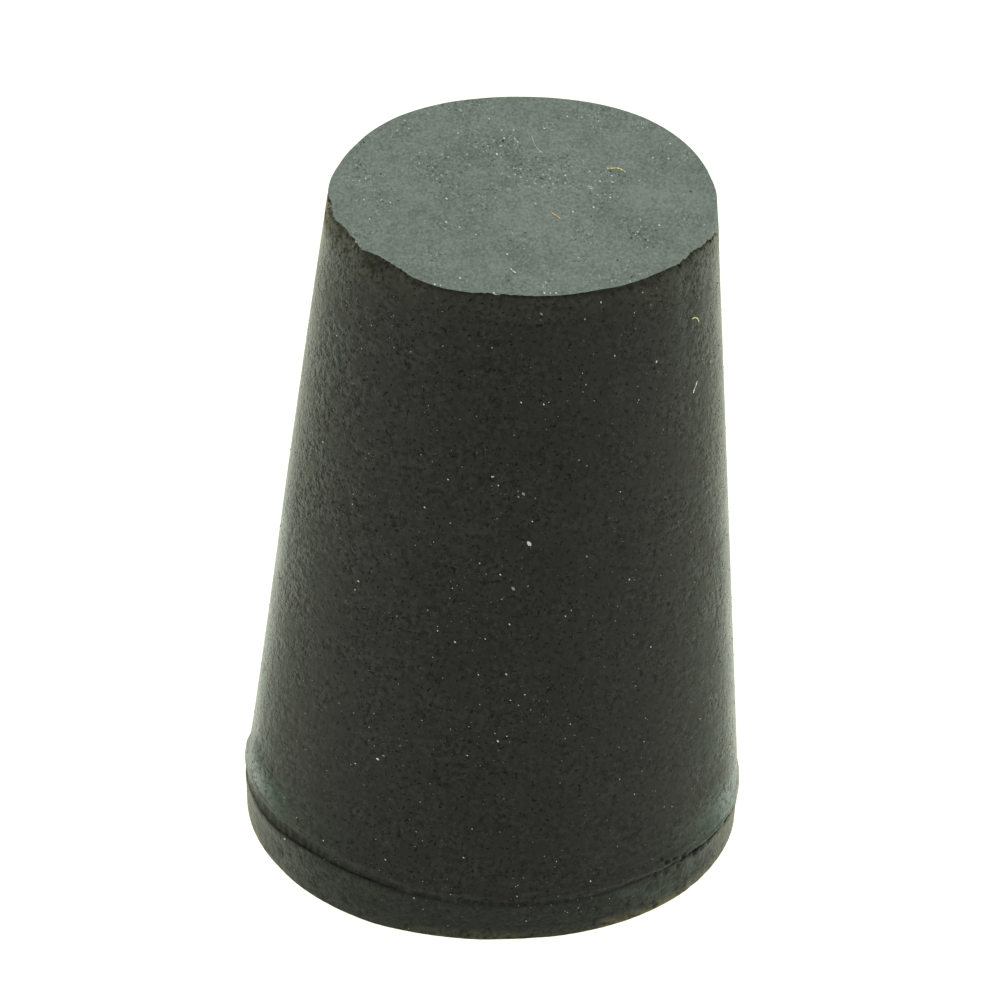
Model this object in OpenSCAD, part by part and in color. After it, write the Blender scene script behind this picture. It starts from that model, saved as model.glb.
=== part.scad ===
// Solid rubber stopper: a tapered plug on a low foot band.
// The plug was moulded and then trimmed at both ends. The trimmed foot band and the two
// flat ends are square to Z, and the moulded wall leans slightly between them.
// Millimetres, +Z up, origin at the centre of the large end.

/* [Body] */
// Length from the large end to the small end
body_length = 25; // [18:0.5:40]
// Diameter of the tapered wall's line where it would meet the large end
large_d = 17.57; // [16:0.01:22]
// Diameter of the tapered wall at the small end
small_d = 13.27; // [10:0.01:15]
// Lean of the moulded axis towards +X, in degrees from square to the ends
axis_lean = 1.26; // [0:0.02:3]

/* [Foot band] */
// Height of the band up to the parting crease, at the middle of the stopper
band_height = 1.5; // [1:0.05:3]
// How far the band's lower edge lies inside the line of the tapered wall
band_inset = 0.16; // [0.02:0.01:0.5]
// How much the band's radius grows from its lower edge to the crease
band_growth = 0.04; // [0:0.01:0.2]
// Radius of the round on the band's lower edge
foot_round = 0.12; // [0.05:0.01:0.5]
// Radius of the round crease between the band and the lip
crease_r = 0.13; // [0.05:0.01:0.3]

/* [Lip] */
// How far the lip above the crease stands proud of the tapered wall
lip_proud = 0.1; // [0.03:0.01:0.3]
// Height of the lip's crest above the crease
lip_crest = 0.15; // [0.05:0.05:0.8]
// Distance above its crest over which the lip fades into the wall
lip_fade = 1; // [0.6:0.05:3]

/* [Worn rim] */
// Depth of the deepest nick in the rim of the small end
nick_depth = 0.2; // [0.05:0.01:0.4]
// Angle of the nicks' faces from upright, in degrees
nick_angle = 32; // [15:1:60]

/* [Hidden] */
$fn = 180;

// Nicks in the rim: direction from +X and reach along the rim, both in degrees, and the
// depth as a share of the deepest nick
RIM_NICKS = [
    [-135, 17, 1.00],
    [-156, 21, 0.85],
    [-97, 16, 0.50],
    [-22, 7, 0.80],
    [162, 26, 0.45],
];

large_r = large_d / 2;
small_r = small_d / 2;
// Half angle of the taper
taper = atan((large_r - small_r) / body_length);
// Rise or fall of the leaning crease at the wall, and the spare length past each end
lean_rise = large_r * tan(axis_lean);
// Middle of the small end, which the lean moves towards +X
top_shift = body_length * tan(axis_lean);

band_low_r = large_r - band_inset;
band_top_r = band_low_r + band_growth;
crest_height = band_height + lip_crest;
// The wall starts a little below the crease's middle, so that it joins the band inside it
wall_start = band_height - crease_r / 4;
// Radius of the lip's arc, from its half chord lip_fade and its rise lip_proud
lip_arc_r = (pow(lip_fade, 2) + pow(lip_proud, 2)) / (2 * lip_proud);
lip_arc_depth = lip_arc_r - lip_proud;
// Side of a block that is larger than the stopper
block = 4 * large_r + body_length;

// Radius of the tapered wall at a height on the moulded axis
function wall_r(z) = large_r - z * tan(taper);

// Turns a form about the middle of the large end onto the leaning moulded axis
module leaning() {
    rotate([0, axis_lean, 0])
        children();
}

// Half section of the tapered wall, from the crease to past the small end
module wall_section() {
    top = body_length + lean_rise;
    polygon([
        [0, wall_start],
        [wall_r(wall_start), wall_start],
        [wall_r(top), top],
        [0, top],
    ]);
}

// Low arc that swells the wall just above the crease
module lip_section() {
    intersection() {
        translate([
            wall_r(crest_height) - lip_arc_depth * cos(taper),
            crest_height - lip_arc_depth * sin(taper),
        ])
            circle(r = lip_arc_r);
        translate([large_r / 2, wall_start])
            square([large_r, crest_height + lip_fade - wall_start]);
    }
}

// Half section of the foot band, with its rounded lower edge, to past the crease
module band_section() {
    top = band_height + lean_rise;
    polygon([
        [0, 0],
        [band_low_r - foot_round, 0],
        [band_low_r - foot_round, foot_round],
        [band_low_r, foot_round],
        [band_top_r, top],
        [0, top],
    ]);
    translate([band_low_r - foot_round, foot_round])
        circle(r = foot_round);
}

// Tapered wall and lip, leaning, and cut off level at the small end
module wall() {
    intersection() {
        leaning()
            rotate_extrude() {
                wall_section();
                lip_section();
            }
        translate([-block / 2, -block / 2, body_length - block])
            cube(block);
    }
}

// Foot band, level below, and cut off along the leaning crease above
module foot_band() {
    intersection() {
        rotate_extrude()
            band_section();
        leaning()
            translate([-block / 2, -block / 2, band_height - block])
                cube(block);
    }
}

// Ring that cuts the crease, on the line of the tapered wall, between the band and the lip
module crease() {
    leaning()
        rotate_extrude()
            translate([wall_r(band_height), band_height])
                circle(r = crease_r);
}

// Slabs outside slanted planes that cross the rim, one for each nick
module rim_nicks() {
    translate([top_shift, 0, body_length])
        for (nick = RIM_NICKS) {
            width = 2 * small_r * sin(nick[1] / 2);
            rotate([0, 0, nick[0]])
                translate([small_r - nick_depth * nick[2], 0, 0])
                    rotate([0, -nick_angle, 0])
                        translate([0, -width / 2, -small_r / 2])
                            cube([small_r, width, small_r]);
        }
}

module stopper() {
    color("#2E2F2A")
        difference() {
            union() {
                wall();
                foot_band();
            }
            crease();
            rim_nicks();
        }
}

stopper();
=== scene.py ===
"""Solid rubber stopper: a tapered plug on a low foot band, with its dust and lint."""

import math

import bpy
import numpy as np
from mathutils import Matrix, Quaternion, Vector, noise
from mathutils.bvhtree import BVHTree


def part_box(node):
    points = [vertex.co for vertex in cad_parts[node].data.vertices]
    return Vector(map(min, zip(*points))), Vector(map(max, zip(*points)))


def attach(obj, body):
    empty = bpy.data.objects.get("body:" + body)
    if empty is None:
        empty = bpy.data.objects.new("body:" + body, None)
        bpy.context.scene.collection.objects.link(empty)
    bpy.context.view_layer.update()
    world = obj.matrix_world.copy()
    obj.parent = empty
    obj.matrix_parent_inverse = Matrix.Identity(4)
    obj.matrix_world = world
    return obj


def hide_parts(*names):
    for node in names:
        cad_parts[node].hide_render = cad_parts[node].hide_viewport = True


bl_info = {
    "name": "Rubber Stopper",
    "version": (1, 0, 0),
    "blender": (4, 5, 0),
    "location": "View3D > Sidebar > Stopper",
    "description": "Builds a solid rubber stopper, its dust and its lint, and a stage for it",
    "category": "Mesh",
}

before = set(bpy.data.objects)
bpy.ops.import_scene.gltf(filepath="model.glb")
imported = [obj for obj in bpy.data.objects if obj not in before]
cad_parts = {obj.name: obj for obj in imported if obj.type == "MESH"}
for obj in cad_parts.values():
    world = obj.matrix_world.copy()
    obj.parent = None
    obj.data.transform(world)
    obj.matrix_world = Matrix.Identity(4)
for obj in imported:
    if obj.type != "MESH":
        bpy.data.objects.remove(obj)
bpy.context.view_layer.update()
CAD_LOW, CAD_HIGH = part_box("stopper")

MM = 0.001
MICRON = 0.001 * MM
AROUND = 800  # points in each row round the turned body


# ---------------------------------------------------------------- colours and nodes

MATH, RANGE, NOISE = "ShaderNodeMath", "ShaderNodeMapRange", "ShaderNodeTexNoise"
# Inputs of a Mix node: its factor, its factors by axis, its two vectors and its two colours
FACTOR, FACTORS, FROM, TO, UNDER, OVER = 0, 1, 4, 5, 6, 7


def srgb(code):
    """Linear RGB of an sRGB hex code."""
    parts = [int(code[i : i + 2], 16) / 255 for i in (1, 3, 5)]
    return tuple(p / 12.92 if p <= 0.04045 else ((p + 0.055) / 1.055) ** 2.4 for p in parts)


def add(tree, kind, links=(), **settings):
    """Adds a node: links gives its inputs in order, or by name or number, settings the rest.

    An input's value is a node, a socket, a plain value, or a list of nodes for a joining input.
    In order, a Map Range's are its value, the range that is read and the range that is made.
    """
    node = tree.nodes.new(kind)
    for name, value in settings.items():
        setattr(node, name, value)
    for key, given in links.items() if isinstance(links, dict) else enumerate(links):
        socket = node.inputs[key]
        for value in given if isinstance(given, list) else [given]:
            if isinstance(value, bpy.types.Node):
                value = next(out for out in value.outputs if out.enabled)
            if isinstance(value, bpy.types.NodeSocket):
                tree.links.new(value, socket)
            else:
                socket.default_value = value
    return node


def read(items, field, kind=np.float32, width=1):
    """An array of a field of each of a mesh's items."""
    values = np.empty(len(items) * width, kind)
    items.foreach_get(field, values)
    return values


def per_mm(size):
    """The Scale of a pattern whose features are about size mm across."""
    return 1 / (size * MM)


def shade(tint, factor=1.0):
    """A colour property as a socket's colour, made darker or lighter."""
    return (*(min(1.0, part * factor) for part in tint), 1)


# ---------------------------------------------------------------- sizes and finishes


def length(name, description, mm):
    """A length property; its default is in millimetres."""
    return bpy.props.FloatProperty(
        name=name, description=description, default=mm * MM, min=0, subtype="DISTANCE",
        unit="LENGTH", precision=5,
    )


def colour(name, description, code):
    """A colour property; its default is an sRGB hex code."""
    return bpy.props.FloatVectorProperty(
        name=name, description=description, default=srgb(code), min=0, max=1, size=3,
        subtype="COLOR",
    )


def amount(name, description, default):
    """A plain number property."""
    return bpy.props.FloatProperty(name=name, description=description, default=default, min=0)


class StopperSizes(bpy.types.PropertyGroup):
    """Sizes of the moulded and trimmed rubber"""

    body_length: length(
        "Length", "From the large end to the small end", (CAD_HIGH.z - CAD_LOW.z) / MM
    )
    large_d: length("Large diameter", "Of the wall's line where it meets the large end", 17.57)
    small_d: length("Small diameter", "Of the wall at the small end", 13.27)
    axis_lean: bpy.props.FloatProperty(
        name="Lean", description="Of the moulded axis, from square to the ends",
        default=math.radians(1.26), subtype="ANGLE", unit="ROTATION",
    )
    band_height: length("Band height", "From the large end to the parting crease", 1.5)
    band_inset: length("Band inset", "Of the band's lower edge from the wall's line", 0.15)
    band_growth: length("Band growth", "Of the band's radius from its foot to the crease", 0.04)
    foot_round: length("Foot round", "Radius of the band's lower edge", 0.09)
    crease_depth: length("Crease", "Depth of the crease below the lip", 0.2)
    crease_roll: length("Crease roll", "Height over which the lip rolls into the crease", 0.15)
    lip_proud: length("Lip", "How far the lip stands proud of the wall", 0.1)
    lip_fade: length("Lip fade", "Height over which the lip fades into the wall", 1.0)
    wear: amount("Wear", "Share of the wear on the rim and foot", 1)


class RubberFinish(bpy.types.PropertyGroup):
    """Colours of the rubber, its dust and its lint"""

    wall: colour("Moulded wall", "Black rubber as it leaves the mould", "#222222")
    trimmed: colour("Trimmed end", "Cut rubber with a grey bloom", "#60686a")
    band: colour("Foot band", "Die-cut rubber", "#151615")
    bloom: colour("Bloom", "Grey-green bloom on the rubber", "#37443e")
    stain: colour("Stain", "Olive-brown rub along the edges", "#4c4534")
    rub: colour("Rub", "Chalky tan rub on the rim", "#a09a86")
    dust: colour("Dust on the small end", "Chalky filler powder", "#d4dae4")
    grit: colour("Dust on the wall", "Mineral dust", "#b4b3b9")
    crumbs: colour("Crumbs", "Crumbs of cut rubber", "#20241f")
    gold_lint: colour("Gold lint", "Undyed cotton lint", "#cfc795")
    brown_lint: colour("Brown lint", "Brown fibre", "#c8a583")
    pale_lint: colour("Pale lint", "Bleached fibre", "#d6dad2")


class DustAmounts(bpy.types.PropertyGroup):
    """Amounts and sizes of the dust and the lint"""

    end_density: amount("On the small end", "Grains on each square millimetre", 2.0)
    wall_density: amount("On the wall", "Grains on each square millimetre", 5.0)
    end_grain: length("End grain", "Radius of the largest scattered grain on the end", 0.024)
    wall_grain: length("Wall grain", "Radius of the largest scattered grain on the wall", 0.03)
    fibre: length("Fibre", "Diameter of the thickest fibres of lint", 0.05)


# ---------------------------------------------------------------- the turned form

END_RINGS = (0.0, 0.07, 0.16, 0.25, 0.34, 0.43, 0.52, 0.6, 0.68, 0.75, 0.81, 0.86, 0.9, 0.93,
             0.955, 0.972, 0.984, 0.993)
EDGE_ROW = len(END_RINGS) + 1  # the row below the rim's, where the trimmed finish ends
RIM_LIFT = 0.004  # mm, from the rim to that row
RIM_DEPTHS = (0.03, 0.06, 0.1, 0.14, 0.19, 0.24, 0.3, 0.38, 0.5, 0.7, 1.0, 1.4, 1.9, 2.5, 3.2)
WALL_ROWS = 20
TRIM_REACH = 8.0  # mm below the rim over which the level cut is taken up
LIP_CREST = 0.15  # mm, the lip's crest above the crease
LIP_REACH = 2.2  # mm above the crease, where the fine rows of the lip begin
# Heights of the lip's rows above the crease, in mm, which draw closer as they near it
LIP_STEPS = [LIP_REACH - 0.13 * i for i in range(10)]
LIP_STEPS += [0.9 - 0.057 * i for i in range(7)] + [0.51 - 0.03 * i for i in range(17)]
BAND_DEPTHS = (0.02, 0.045, 0.08, 0.12, 0.17, 0.23, 0.3, 0.4, 0.55, 0.75, 1.0)
FOOT_STEPS = 5  # rows of the foot's round edge
BASE_RINGS = (0.99, 0.97, 0.93, 0.86, 0.75, 0.6, 0.4, 0.2, 0.0)
WELD = 0.001  # mm, the distance at which points become one
SHARP = math.radians(35)  # between two faces, from where their edge is sharp


def wall_slope(sizes):
    """How much the wall's radius shrinks for each unit of height."""
    return (sizes.large_d - sizes.small_d) / 2 / sizes.body_length


def wall_radius(sizes, height):
    """Radius of the tapered wall at a height on the moulded axis."""
    return sizes.large_d / 2 - wall_slope(sizes) * height


def foot_radius(sizes):
    """Radius of the band's lower edge."""
    return sizes.large_d / 2 - sizes.band_inset


def lip_offset(above, proud, fade, depth, roll):
    """How far the surface stands off the wall's line at a height above the crease, in mm.

    The lip swells to proud just above the crease and fades over fade; below, it rolls in over
    roll by depth, down to the crease's bottom. All four may vary with direction.
    """
    rising = np.clip((above - LIP_CREST) / fade, 0, 1)
    tucked = np.clip(1 - above / roll, 0, 1)
    return proud * (1 - rising**2) - depth * tucked**2 * (3 - 2 * tucked)


def mean_lip(sizes):
    """The four sizes of the lip that the section is drawn with, in mm."""
    names = ("lip_proud", "lip_fade", "crease_depth", "crease_roll")
    return [getattr(sizes, name) / MM for name in names]


def section_rows(sizes):
    """Half section from the small end's middle to the large end's middle.

    Each row is its radius (reach) and height, how far it follows the moulded axis sideways
    (lean) and in height (slant), how far it takes up the level cut (trim), its share of the
    way out to the rim (cap), and its finish: 0 trimmed end, 1 moulded wall, 2 foot band.
    """
    top, small_r = sizes.body_length, sizes.small_d / 2
    rows = [(small_r, top, 1, 1, 1, share, 0) for share in (*END_RINGS, 1)]
    edge = top - RIM_LIFT * MM
    rows.append((wall_radius(sizes, edge), edge, 1, 1, 1, 1, 0))
    start = RIM_DEPTHS[-1]
    deep = (top - sizes.band_height) / MM - LIP_REACH - start
    for depth in (*RIM_DEPTHS, *(start + deep * i / WALL_ROWS for i in range(1, WALL_ROWS))):
        height = top - depth * MM
        trim = max(0.0, 1 - depth / TRIM_REACH)
        rows.append((wall_radius(sizes, height), height, 1, 1, trim, 1, 1))
    for above in (*LIP_STEPS, 0.0):
        height = sizes.band_height + above * MM
        reach = wall_radius(sizes, height) + float(lip_offset(above, *mean_lip(sizes))) * MM
        rows.append((reach, height, 1, 1, 0, 1, 1))
    # The band, straight down to its round foot
    low_r, foot_round = foot_radius(sizes), sizes.foot_round
    band_reach = sizes.band_height - foot_round
    for depth in (*BAND_DEPTHS, band_reach / MM):
        share = 1 - depth * MM / band_reach
        reach = low_r + sizes.band_growth * share
        rows.append((reach, foot_round + band_reach * share, 0, share, 0, 1, 2))
    for i in range(1, FOOT_STEPS + 1):
        angle = math.pi / 2 * i / FOOT_STEPS
        reach = low_r - foot_round * (1 - math.cos(angle))
        rows.append((reach, foot_round * (1 - math.sin(angle)), 0, 0, 0, 1, 2))
    return rows + [(reach * share, 0, 0, 0, 0, 1, 2) for share in BASE_RINGS]


ROW_FIELDS = ("reach", "height", "lean", "slant", "trim", "cap", "finish")
CARRIED = (*ROW_FIELDS, "turn", "row")  # what each point of the turned form knows of its row


def section_mesh(rows):
    """The half section as a chain of edges that carries its rows' values."""
    mesh = bpy.data.meshes.new("stopper_section")
    points = [(row[0], 0, row[1]) for row in rows]
    mesh.from_pydata(points, [(i, i + 1) for i in range(len(rows) - 1)], [])
    for field, values in zip((*ROW_FIELDS, "row"), (*zip(*rows), range(len(rows)))):
        mesh.attributes.new(field, "FLOAT", "POINT").data.foreach_set("value", values)
    return mesh


def new_tree(name, sockets):
    """A Geometry Nodes tree with a geometry input and output and the named inputs."""
    tree = bpy.data.node_groups.new(name, "GeometryNodeTree")
    tree.interface.new_socket("Geometry", in_out="OUTPUT", socket_type="NodeSocketGeometry")
    for label, kind in (("Geometry", "Geometry"), *sockets, ("Material", "Material")):
        tree.interface.new_socket(label, in_out="INPUT", socket_type=f"NodeSocket{kind}")
    return tree, tree.nodes.new("NodeGroupInput").outputs


def close_tree(tree, given, form):
    """Makes a tree's instances real, gives them its material and ends it."""
    real = add(tree, "GeometryNodeRealizeInstances", {"Geometry": form})
    made = add(tree, "GeometryNodeSetMaterial", {"Geometry": real, "Material": given["Material"]})
    add(tree, "NodeGroupOutput", {"Geometry": made})
    return tree


def turned_form_tree():
    """Turns a half section about the leaning axis and trims it level at the small end."""
    tree, given = new_tree("Turned and trimmed plug", (
        ("Around", "Int"), ("Lean", "Float"), ("Length", "Float"), ("Large Radius", "Float"),
        ("Slope", "Float"),
    ))
    lean, top = given["Lean"], given["Length"]
    share = add(tree, MATH, (add(tree, "GeometryNodeInputIndex"), given["Around"]),
                operation="DIVIDE")
    rail = add(tree, "GeometryNodeStoreNamedAttribute", {
        "Geometry": add(tree, "GeometryNodeCurvePrimitiveCircle", {"Resolution": given["Around"]}),
        "Name": "turn", "Value": add(tree, MATH, (share, math.tau), operation="MULTIPLY"),
    }, data_type="FLOAT", domain="POINT")
    section = add(tree, "GeometryNodeMeshToCurve", {"Mesh": given["Geometry"]})
    skin = add(tree, "GeometryNodeCurveToMesh", {"Curve": rail, "Profile Curve": section})
    turn, reach, height, follow_x, follow_z, trim, cap = (
        add(tree, "GeometryNodeInputNamedAttribute", {"Name": name}, data_type="FLOAT")
        for name in ("turn", "reach", "height", "lean", "slant", "trim", "cap")
    )
    cos_turn, sin_turn, cos_lean, sin_lean = (
        add(tree, MATH, (angle,), operation=operation)
        for angle in (turn, lean) for operation in ("COSINE", "SINE")
    )
    # Height on the moulded axis at which the wall meets the level cut, by direction
    swing = add(tree, MATH, (cos_turn, sin_lean), operation="MULTIPLY")
    above, below = (
        add(tree, MATH, (by, swing, plus), operation="MULTIPLY_ADD")
        for by, plus in ((given["Large Radius"], top), (given["Slope"], cos_lean))
    )
    met = add(tree, MATH, (above, below), operation="DIVIDE")
    cut = add(tree, MATH, (met, top), operation="SUBTRACT")
    taken = add(tree, MATH, (cut, trim), operation="MULTIPLY")
    narrowed = add(tree, MATH, (taken, given["Slope"]), operation="MULTIPLY")
    radius = add(tree, MATH, (reach, narrowed), operation="SUBTRACT")
    level = add(tree, "ShaderNodeCombineXYZ", (
        add(tree, MATH, (radius, cos_turn), operation="MULTIPLY"),
        add(tree, MATH, (radius, sin_turn), operation="MULTIPLY"),
        add(tree, MATH, (height, taken), operation="ADD"),
    ))
    leaned = add(tree, "ShaderNodeVectorRotate", {"Vector": level, "Angle": lean},
                 rotation_type="Y_AXIS")
    follow = add(tree, "ShaderNodeCombineXYZ", {"X": follow_x, "Z": follow_z})
    placed = add(tree, "ShaderNodeMix", {FACTORS: follow, FROM: level, TO: leaned},
                 data_type="VECTOR", factor_mode="NON_UNIFORM")
    tangent = add(tree, MATH, (lean,), operation="TANGENT")
    middle = add(tree, "ShaderNodeCombineXYZ", {
        "X": add(tree, MATH, (tangent, top), operation="MULTIPLY"), "Z": top,
    })
    shaped = add(tree, "GeometryNodeSetPosition", {
        "Geometry": skin, "Position": add(
            tree, "ShaderNodeMix", {FACTOR: cap, FROM: middle, TO: placed}, data_type="VECTOR"
        ),
    })
    closed = add(tree, "GeometryNodeMergeByDistance", {"Geometry": shaped, "Distance": WELD * MM})
    return close_tree(tree, given, closed)


def grown(name, mesh, tree, **inputs):
    """The plain mesh that the tree makes from a mesh; the object that carried it is removed."""
    carrier = bpy.data.objects.new(name + "_carrier", mesh)
    bpy.context.scene.collection.objects.link(carrier)
    modifier = carrier.modifiers.new("form", "NODES")
    modifier.node_group = tree
    sockets = {item.name: item.identifier for item in tree.interface.items_tree
               if item.in_out == "INPUT"}
    for label, value in inputs.items():
        modifier[sockets[label.replace("_", " ")]] = value
    graph = bpy.context.evaluated_depsgraph_get()
    made = bpy.data.meshes.new_from_object(carrier.evaluated_get(graph))
    made.name = name
    bpy.data.objects.remove(carrier)
    return made


def piece(name, mesh, *materials):
    """An object at the origin that shows a mesh, rides on the stopper and is of its rubber."""
    mesh.materials.clear()
    for material in materials:
        mesh.materials.append(material)
    shown = bpy.data.objects.new(name, mesh)
    bpy.context.scene.collection.objects.link(shown)
    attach(shown, "root")
    return shown


# ---------------------------------------------------------------- wear, by direction
#
# In all of these tables but RUBS, a row begins with a direction in degrees from +X. The sizes
# are in mm.

# How far the rim of the small end lies outside (+) or inside (-) a true circle
RIM_OUT_OF_ROUND = (
    (-180, -0.02), (-165, 0), (-124, 0), (-116, 0.08), (-113, 0.11), (-109, 0.07), (-104, 0.03),
    (-99, 0), (-72, -0.02), (-66, -0.03), (-61, 0.045), (-51, 0.085), (-43, 0.12), (-38, 0.1),
    (-34, 0.05), (-28, 0.06), (-14, 0.02), (-5, -0.02), (4, -0.02), (13, -0.065), (23, -0.03),
    (33, 0.03), (44, 0.1), (53, 0.14), (62, 0.118), (70, 0.07), (78, 0.01), (90, -0.055),
    (105, -0.06), (113, -0.02), (131, 0), (144, -0.07), (152, -0.13), (165, -0.13), (173, -0.06),
    (180, -0.02),
)
# Depth of the chips in that rim
RIM_CHIPS = (
    (-178, 0), (-172, 0.1), (-168, 0.07), (-165, 0.01), (-163, 0.04), (-160.5, 0.09),
    (-157.7, 0.19), (-155, 0.15), (-151, 0.17), (-147, 0.09), (-145, 0.01), (-144, 0.01),
    (-142, 0.13), (-139, 0.23), (-135, 0.23), (-132, 0.21), (-128, 0.15), (-125, 0.04), (-121, 0),
    (-104, 0), (-101.5, 0.07), (-98, 0.12), (-95, 0.1), (-90, 0.075), (-84, 0.03), (-78, 0),
    (-60, 0), (-52, 0.02), (-45, 0.03), (-38, 0.06), (-32, 0.06), (-27, 0.08), (-21, 0.05),
    (-15, 0),
)
# How far the trimmed finish runs down over the rim
RIM_LEDGE = (
    (-44, 0), (-41, 0.03), (-38, 0.1), (-36, 0.06), (-34, 0.13), (-32, 0.08), (-30.5, 0.04),
    (-29, 0.1), (-27, 0.1), (-25.5, 0.17), (-24, 0.22), (-20, 0.22), (-18.5, 0.32), (-17, 0.4),
    (-13, 0.43), (-11, 0.52), (-9, 0.68), (-6, 0.92), (-3, 1.15), (0, 1.2), (4, 1.05), (10, 0.65),
    (18, 0.28), (28, 0.08), (38, 0),
)
# Depth of the shadow groove just under that rim
RIM_GROOVE = (
    (-180, 0.02), (-150, 0.025), (-120, 0.055), (-85, 0.06), (-45, 0.06), (-30, 0.08), (-22, 0.1),
    (-15, 0.09), (-11, 0.03), (0, 0.01), (180, 0.02),
)
# How far the foot's edge lies outside (+) or inside (-) a true circle
FOOT_OUT_OF_ROUND = (
    (-180, -0.03), (-148, -0.03), (-140, 0.02), (-128, 0.05), (-117, 0.07), (-111, 0.01),
    (-105, -0.03), (-100, -0.055), (-91, -0.075), (-87, -0.115), (-79, -0.11), (-74, -0.065),
    (-65, -0.03), (-55, 0.01), (-46, 0.025), (-37, 0.04), (-35, 0.01), (-33, 0.035), (-30, 0.015),
    (-10, 0.0), (0, -0.02), (20, 0), (90, 0.03), (150, -0.02), (180, -0.03),
)
# Height of the crease above or below its mean
CREASE_WANDER = (
    (-180, -0.13), (-173, -0.1), (-166, -0.08), (-160, -0.08), (-154, -0.06), (-148, 0),
    (-142, 0.12), (-136, 0.18), (-124, 0.2), (-118, 0.19), (-111, 0.08), (-100, 0.04), (-86, 0.01),
    (-70, 0.02), (-54, 0.2), (-46, 0.18), (-40, 0.2), (-34, 0.15), (-28, 0.14), (-22, 0.1),
    (-16, 0), (-10, -0.1), (0, -0.1), (25, 0), (90, 0.03), (150, -0.05), (180, -0.13),
)
# The lip: how far it stands proud, the height over which it fades, the crease's depth below
# it, and the height over which it rolls into the crease
LIP_ROUND = (
    (-180, 0.115, 1.0, 0.15, 0.4), (-175, 0.13, 1.2, 0.12, 0.5), (-170, 0.13, 1.7, 0.1, 0.7),
    (-158, 0.12, 1.8, 0.1, 0.8), (-150, 0.11, 1.5, 0.11, 0.8), (-140, 0.07, 1.2, 0.09, 0.8),
    (-130, 0.04, 0.9, 0.075, 0.7), (-118, 0.02, 0.7, 0.05, 0.5), (-105, 0.015, 0.6, 0.045, 0.42),
    (-75, 0.01, 0.6, 0.035, 0.34), (-55, 0.02, 0.55, 0.045, 0.25), (-45, 0.03, 0.5, 0.045, 0.16),
    (-38, 0.035, 0.6, 0.045, 0.12), (-20, 0.045, 0.6, 0.06, 0.12), (-8, 0.05, 0.4, 0.07, 0.1),
    (0, 0.05, 0.25, 0.05, 0.08), (5, 0.05, 0.25, 0.05, 0.08), (20, 0.012, 0.4, 0.1, 0.13),
    (50, 0.08, 0.8, 0.18, 0.15), (100, 0.1, 1.0, 0.2, 0.15), (150, 0.1, 1.0, 0.2, 0.25),
    (162, 0.03, 0.5, 0.2, 0.3), (178, 0.03, 0.5, 0.2, 0.4), (180, 0.115, 1.0, 0.17, 0.4),
)
# How far the band's upper edge is rounded back, and over what height
BAND_ROUND = (
    (-180, 0.03, 0.1), (-150, 0.03, 0.08), (-130, 0.03, 0.1), (-110, 0.03, 0.12),
    (-75, 0.015, 0.12), (-55, 0.02, 0.08), (-38, 0.02, 0.05), (-5, 0.02, 0.05), (20, 0.04, 0.1),
    (160, 0.06, 0.12), (180, 0.05, 0.12),
)
# Share of olive-brown stain along the foot's edge, with spots at the front right
FOOT_STAIN = (
    (-180, 0.5), (-150, 0.3), (-125, 0.05), (-112, 0.1), (-104, 0.5), (-98, 0.6), (-84, 0.55),
    (-76, 0.3), (-70, 0.15), (-64, 0.35), (-62, 1.6), (-60, 1.6), (-58, 0.7), (-53, 1.2),
    (-50, 1.6), (-46.5, 1.2), (-45.5, 2), (-44, 2), (-43, 1.1), (-37, 1), (-36, 1.8), (-34, 1.8),
    (-32, 0.9), (-27, 0.9), (-26, 1.8), (-24.5, 1.8), (-23, 0.8), (-15, 0.6), (0, 0.3), (180, 0.1),
)
# Share of that stain all over the band
BAND_STAIN = (
    (-180, 0.6), (-168, 0.45), (-160, 0.15), (-150, 0), (-30, 0), (-24, 0.25), (-14, 0.45),
    (0, 0.3), (15, 0), (165, 0), (176, 0.5), (180, 0.6),
)
# Share of that stain on the wall just under the rim; it is a chalky tan where it is thick
RIM_STAIN = (
    (-180, 1.3), (-171, 1.2), (-167.5, 0.95), (-164, 0.6), (-160, 0.5), (-150, 0.4), (-143, 0.25),
    (-135, 0.15), (-100, 0.1), (-60, 0.1), (-45, 0.15), (-20, 0.2), (-8, 0.2), (10, 0.1),
    (160, 0.1), (174, 0.3), (178, 1.25), (180, 1.3),
)
# Share of a painted shadow in the thin dark line just under the rim
RIM_PAINTED_SHADOW = (
    (-180, 0.2), (-176, 0.3), (-168, 0.12), (-160, 0.05), (-150, 0.08), (-130, 0.1), (-115, 0.55),
    (-80, 0.6), (-65, 0.4), (-40, 0.3), (-28, 0.5), (-9, 0.4), (10, 0.2), (180, 0.3),
)
# Share of grey-green bloom on the foot band
BAND_BLOOM = (
    (-180, 0.9), (-168, 0.8), (-160, 0.35), (-150, 0.55), (-138, 0.42), (-128, 0.25), (-110, 0.1),
    (-65, 0.1), (-50, 0.5), (-42, 0.6), (-34, 0.5), (-22, 0.5), (-12, 1.1), (20, 0.4), (150, 0.4),
    (180, 0.9),
)
# A painted highlight on the lip, laid into the bloom mark: its share, and the height above the
# crease where it starts
LIP_PAINTED_HIGHLIGHT = (
    (-180, 1.3, 0.35), (-174, 1.6, 0.35), (-164, 1.7, 0.45), (-157, 1.3, 0.5), (-147, 0.8, 0.45),
    (-140, 0.4, 0.4), (-132, 0.1, 0.3), (-120, 0, 0.2), (-45, 0, 0.1), (-36, 0.4, 0.05),
    (-28, 0.85, 0.04), (-22, 1.2, 0.02), (-16, 1.55, 0), (-6, 1.6, 0), (8, 0.6, 0.05),
    (25, 0.1, 0.1), (150, 0.1, 0.3), (170, 0.5, 0.35), (180, 1.3, 0.35),
)
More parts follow.
